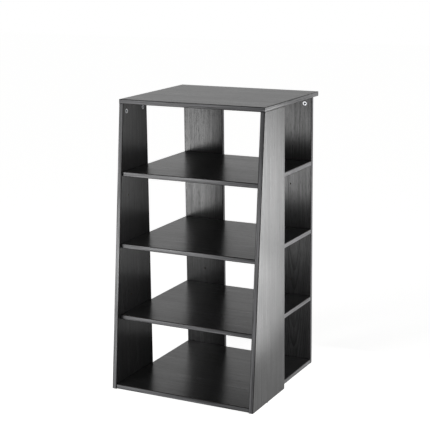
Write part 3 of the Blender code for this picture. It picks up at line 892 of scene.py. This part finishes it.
camSettings = {
    "radius": 7.2,    # mm
    "faceSink": 0.2,  # below the board's face
    "chamfer": 0.6,
    "bottom": 12.2,
    "edge": 0.3,      # the lower rim's bevel, and the step from the chamfer to the wall's next point
    "groove": (5.0, 5.25, 5.75, 6.0),  # radii of the ring pressed into the face
    "grooveDepth": 0.2,
    "recessOut": 4.1, "recessIn": 3.0, "recessPower": 3.0,
    # share of the cross's radius and mm below the face, from its floor up
    "recessWall": ((0.35, 3.0), (0.80, 2.9), (0.92, 0.35), (1.00, 0.12)),
    "recessRim": 0.16,
    "faceFrom": 4.4, "floorFrom": 0.4,  # radii where the round face and the round bottom begin
    "pocketRadius": 4.6, "pocketRoof": 3.8,
    "entryRadius": 4.0, "neckSlot": 2.1,
    "hair": 0.05,     # mm by which the recess is told from the face
    "sides": 96,
}


def camPoints(s):
    # Two parameters, the angle and the way from the middle of the recess out over the face and down
    # the side. In the recess the radius is in + (out - in) |cos 2a| ^ power, which draws a cross.
    angle = np.linspace(0, 2 * math.pi, s["sides"], endpoint=False)
    arms = np.abs(np.cos(2 * angle)) ** s["recessPower"]
    star = s["recessIn"] + (s["recessOut"] - s["recessIn"]) * arms
    radius, edge, bottom = s["radius"], s["edge"], -s["bottom"]
    sink = -s["faceSink"]
    slope = sink - s["chamfer"]
    depths = (0.0, s["grooveDepth"], s["grooveDepth"], 0.0)
    rows = [(share * star, sink - depth) for share, depth in s["recessWall"]]
    rows.append((star + s["recessRim"], sink))
    rows += [(width + 0 * angle, height) for width, height in (
        (s["faceFrom"], sink), *((width, sink - depth) for width, depth in zip(s["groove"], depths)),
        (radius - s["chamfer"], sink), (radius, slope), (radius, slope - edge),
        (radius, bottom + edge), (radius - edge, bottom), (s["floorFrom"], bottom),
    )]
    width = np.stack([row[0] for row in rows])
    height = np.array([row[1] for row in rows])[:, None] + 0 * angle
    return np.stack([width * np.cos(angle), width * np.sin(angle), height], axis=-1) * mm


def makeCamMesh(s):
    # The cup that takes the bolt's head, its way in at the back and the slot for its neck are cut
    # from below, so the mesh is the whole part and not its face alone.
    points, faces = closedTurning(camPoints(s))
    cam = makeObject("cam", points, faces, [])
    turnOutwards(cam.data)
    past, holeSides = fittingSettings["overcut"], fittingSettings["holeSides"]
    axis, reach, gape = -boardSettings["thickness"] / 2, s["radius"] + past, s["neckSlot"]
    pocket = ((s["pocketRadius"], -s["bottom"] - past), (s["pocketRadius"], -s["pocketRoof"]))
    entry = ((s["entryRadius"], -reach), (s["entryRadius"], 0.0))
    tools = []
    for block in (turnedPoints(np.array(pocket) * mm, holeSides),
                  laidAlongX(turnedPoints(np.array(entry) * mm, holeSides))):
        flat, shape = closedTurning(block)
        tools.append(makeObject("tool", flat, shape, []))
    slotEnds = np.array([[[x, y, z] for y, z in ((-gape, axis - gape), (gape, axis - gape),
                                                 (gape, axis + gape), (-gape, axis + gape))]
                         for x in (-reach, reach)]) * mm
    tools.append(makeObject("tool", slotEnds, slabFaces, []))
    cutAway(cam, tools)
    mesh = cam.data
    bpy.data.objects.remove(cam, do_unlink=True)
    mesh.materials.append(zinc)
    flat = meshPoints(mesh)
    way, height = np.hypot(flat[:, 0], flat[:, 1]) / mm, flat[:, 2] / mm
    # Marks the recess that is painted near black: dark skin, and painted shade.
    recessSkinAndShade = (way < s["recessOut"] + s["hair"]) & (height < -s["faceSink"] - s["hair"]) & (
        height > -s["pocketRoof"])
    mark = mesh.attributes.new("recess", "FLOAT", "POINT")
    mark.data.foreach_set("value", recessSkinAndShade.astype(np.float32))
    return mesh


boltSettings = {
    "tip": 0.35, "headRadius": 3.4, "headLength": 2.4,  # mm
    "headCone": ((0.0, 0.55), (0.5, 0.86), (1.1, 1.00)),  # mm from its tip, share of its radius
    "hold": 4.3,  # from the cam's axis to the head's rim
    "neck": 1.7, "neckEnd": 9.2,
    "shank": 3.7, "shankEnd": 23.9,
    "collar": 3.9,
    # Bends of the outline: the way and the radius that they start from, then mm along and mm out.
    "bends": (
        ("shoulder", "headRadius", ((0.0, 0.0), (0.35, -0.5))),
        ("hold", "neck", ((-0.5, 0.25), (0.0, 0.0))),
        ("neckEnd", "neck", ((-0.3, 0.0), (0.0, 0.2))),
        ("neckEnd", "shank", ((0.1, -0.3), (0.4, 0.0))),
        ("shankEnd", "shank", ((-2.0, 0.0),)),
        ("shankEnd", "collar", ((-1.7, 0.0), (-0.2, 0.0), (0.0, -0.2))),
        ("shankEnd", "threadRoot", ((0.0, 0.1),)),
    ),
    "threadRoot": 1.55, "threadRadius": 2.35, "threadEnd": 34.8, "pitch": 1.75,
    "threadGap": 0.1,  # from the shank to the first row of points
    "rowsPerPitch": 8,
    "ridge": 1.9,      # the higher, the sharper is the thread
    "runIn": 0.8, "runOut": 3.0,  # mm over which it grows and fades
    "point": 0.55, "fade": 0.1, "fadeFloor": 0.25,  # shares
    "smoothTo": 40.0,  # degrees
    "sides": 24,
}


def boltPoints(s):
    # Two parameters, the angle and the way along the bolt. Along the screw end the radius is the root
    # plus a ridge, highest where the way over the pitch, less the angle in turns, ends in a half.
    angle = np.linspace(0, 2 * math.pi, s["sides"], endpoint=False)
    shoulder = math.sqrt(s["hold"] ** 2 - s["headRadius"] ** 2)
    start = shoulder - s["headLength"]
    ways = {**s, "shoulder": shoulder}
    plain = np.array([
        (start, s["tip"]),
        *((start + along, s["headRadius"] * share) for along, share in s["headCone"]),
        *((ways[way] + along, s[radius] + out) for way, radius, steps in s["bends"]
          for along, out in steps),
    ])
    plainWay, plainRadius = (np.repeat(column[:, None], s["sides"], axis=1) for column in plain.T)
    way = np.arange(s["shankEnd"] + s["threadGap"], s["threadEnd"], s["pitch"] / s["rowsPerPitch"])
    way = way[:, None] + 0 * angle
    turns = way / s["pitch"] - angle / (2 * math.pi)
    ridge = np.clip(1 - np.abs(2 * (turns % 1) - 1) * s["ridge"], 0, 1)
    ending = np.clip((s["threadEnd"] - way) / s["runOut"], 0, 1)
    fade = np.maximum(ending, s["fadeFloor"]) * np.clip((way - s["shankEnd"]) / s["runIn"], 0, 1)
    screw = s["threadRoot"] + (s["threadRadius"] - s["threadRoot"]) * ridge
    screw = screw * (s["point"] + (1 - s["point"]) * ending) * (1 - s["fade"] + s["fade"] * fade)
    way = np.concatenate([plainWay, way])
    radius = np.concatenate([plainRadius, screw])
    axis = -boardSettings["thickness"] / 2
    return np.stack([way, radius * np.sin(angle), radius * np.cos(angle) + axis], axis=-1) * mm


def makeFittings():
    camMesh = makeCamMesh(camSettings)
    camFlat = meshPoints(camMesh)
    boltFlat, boltFaces = closedTurning(boltPoints(boltSettings))
    for fitting in fittings:
        label, place = fitting["label"], fitting["place"]
        mesh = camMesh.copy()
        mesh.name = label + "_cam_lock"
        mesh.vertices.foreach_set("co", moved(camFlat, place).ravel())
        cam = bpy.data.objects.new(label + "_cam_lock", mesh)
        bpy.context.scene.collection.objects.link(cam)
        smoothRound(cam)
        settle(cam, "cam_zinc", fitting["node"])
        bolt = makeObject(label + "_cam_bolt", moved(boltFlat, place), boltFaces, [steel])
        turnOutwards(bolt.data)
        smoothRound(bolt, boltSettings["smoothTo"])
        settle(bolt, "bolt_steel", fitting["node"] if fitting["joined"] else label + "_bolt")
    bpy.data.meshes.remove(camMesh)
    print("cams and bolts made:", len(fittings), "of each")


makeFittings()


# Glides

glideSettings = {
    "radius": 7.0, "height": 2.7, "edge": 0.9,  # mm
    "edgeSteps": 6,
    "flatEnd": 0.3,          # the flat underside ends this far from the edge
    "dimple": 1.6, "dimpleDepth": 0.5,
    "dimpleMiddle": 0.25,    # radius where the dimple's floor begins
    "dimpleLip": ((0.3, 0.15), (0.8, 0.0)),  # mm out from the dimple and mm up
    "rim": 0.25,             # of the disc's upper edge
    "nail": 1.1, "nailLength": 14.0,
    "nailFoot": (0.5, 0.3),  # mm wider and mm high, where the nail starts
    "barbs": 5,
    "barbsFrom": 1.5, "unbarbed": 5.0,  # mm of nail before them, and in all
    "barbCut": 0.12, "barbSwell": 0.05, "barbRise": 0.15,  # mm in, mm out, share of its length
    "point": 3.0, "pointRadius": 0.12,
    "sides": 48,
}


def glideProfile(s):
    # From the middle of the underside out round the disc's soft edge, in under the panel and up the
    # barbed nail: each barb swells the nail at once and falls back slowly.
    radius, height, edge, nail = s["radius"], s["height"], s["edge"], s["nail"]
    bend = np.linspace(0, math.pi / 2, s["edgeSteps"])
    softEdge = np.stack([radius - edge * (1 - np.sin(bend)), edge * (1 - np.cos(bend))], axis=1)
    under = [(s["dimpleMiddle"], s["dimpleDepth"]), (s["dimple"], s["dimpleDepth"]),
             *((s["dimple"] + out, up) for out, up in s["dimpleLip"]),
             (radius - edge - s["flatEnd"], 0.0)]
    over = [(radius, height - s["rim"]), (radius - s["rim"], height),
            (nail + s["nailFoot"][0], height), (nail, height + s["nailFoot"][1])]
    pitch = (s["nailLength"] - s["unbarbed"]) / s["barbs"]
    barbs = []
    for i in range(s["barbs"]):
        start = height + s["barbsFrom"] + i * pitch
        barbs += [(nail - s["barbCut"], start), (nail + s["barbSwell"], start + pitch * s["barbRise"])]
    end = height + s["nailLength"]
    tip = [(nail - s["barbCut"], end - s["point"]), (s["pointRadius"], end)]
    return np.array([*under, *softEdge.tolist(), *over, *barbs, *tip]) * mm


def makeGlides():
    flat, faces = closedTurning(turnedPoints(glideProfile(glideSettings), glideSettings["sides"]))
    for kind in ("side", "rear"):
        for word in sides:
            low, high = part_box(f"glide_{kind}_{word}")
            foot = np.array([(low.x + high.x) / 2, (low.y + high.y) / 2, 0.0])
            glide = makeObject(f"nail_glide_{kind}_{word}", flat + foot, faces, [polyethylene])
            turnOutwards(glide.data)
            smoothRound(glide)
            settle(glide, "glide_plastic", f"glide_{kind}_{word}")
    print("glides made")


makeGlides()


# Studio

studioSettings = {
    "ambient": 0.25,       # light of the white room on the stand
    "floor": "#e4e4e3",
    "floorLift": 0.8,      # what the floor adds for the camera and for reflections, to read as white
    "floorRoughness": 0.9,
    "floorSide": 24.0,     # metres
    "floorLines": 9,
    # Each lamp's place, what it points at, its width and height in metres, and how many times
    # brighter than white paper its round diffuser looks. The two on the right face straight forward,
    # so that the shelves don't mirror them towards the left.
    "lamps": {
        "right_softbox": ((0.890, 0.480, 0.54), (0.950, -0.520, 0.54), (0.84, 0.88), 7.4),
        "low_softbox": ((0.650, 0.200, 0.16), (0.680, -0.420, 0.94), (0.56, 0.50), 4.6),
        "left_softbox": ((-0.927, -1.378, 0.36), (-0.467, -0.490, 0.36), (0.80, 0.71), 16.0),
    },
}


def seenStraight(tree):
    # 1 for rays of the camera, of a mirror image and through glass, and 0 for the rest: the greatest
    # of the three.
    rays = addNode(tree, "ShaderNodeLightPath")
    seen = rays.outputs["Is Camera Ray"]
    for other in ("Is Glossy Ray", "Is Transmission Ray"):
        seen = addNode(tree, "ShaderNodeMath", {"operation": "MAXIMUM"},
                       {0: seen, 1: rays.outputs[other]})
    return seen


def makeFloor(s):
    # Painted matt white: it keeps the stand's shadow, and the lift makes it read as white.
    half, lines = s["floorSide"] / 2, s["floorLines"]
    x, y = np.meshgrid(np.linspace(-half, half, lines), np.linspace(-half, half, lines))
    material, tree, shader = startMaterial("painted_studio_floor")
    floor = makeObject("studio_floor", np.stack([x, y, 0 * x], axis=-1),
                       gridFaces(lines, lines, False, False), [material])
    lift = addNode(tree, "ShaderNodeMath", {"operation": "MULTIPLY"},
                   {0: seenStraight(tree), 1: s["floorLift"]})
    setInputs(tree, shader, {
        "Base Color": linearColour(s["floor"]), "Roughness": s["floorRoughness"],
        "Specular IOR Level": 0.0, "Emission Color": (1, 1, 1, 1), "Emission Strength": lift,
    })


def makeRoom(s):
    # White for the camera and for mirror images, and only the ambient level as light.
    world = bpy.data.worlds.new("white_room")
    bpy.context.scene.world = world
    world.use_nodes = True
    air = world.node_tree
    air.nodes.clear()
    strength = addNode(air, "ShaderNodeMapRange", {}, {
        "Value": seenStraight(air), "To Min": s["ambient"], "To Max": 1.0,
    })
    background = addNode(air, "ShaderNodeBackground", {}, {
        "Color": (1, 1, 1, 1), "Strength": strength,
    })
    addNode(air, "ShaderNodeOutputWorld", {}, {"Surface": background})


def aim(place, target):
    # Turns a lamp's own -Z towards its target: first its tilt from straight down, then its heading.
    x, y, z = np.array(target, float) - np.array(place, float)
    tilt = math.atan2(math.hypot(x, y), -z)
    return (tilt, 0.0, math.atan2(y, x) - math.pi / 2)


def makeLamps(lamps):
    # An ellipse of brightness b sends out pi times its area times b watts.
    for name, (place, target, size, brightness) in lamps.items():
        data = bpy.data.lights.new(name, "AREA")
        data.shape = "ELLIPSE"
        data.size, data.size_y = size
        area = math.pi / 4 * size[0] * size[1]
        data.energy = math.pi * area * brightness
        lamp = bpy.data.objects.new(name, data)
        lamp.location = place
        lamp.rotation_euler = aim(place, target)
        lamp.visible_camera = False
        bpy.context.scene.collection.objects.link(lamp)


makeFloor(studioSettings)
makeRoom(studioSettings)
makeLamps(studioSettings["lamps"])
bpy.context.scene.view_settings.view_transform = "Standard"
print("studio made")
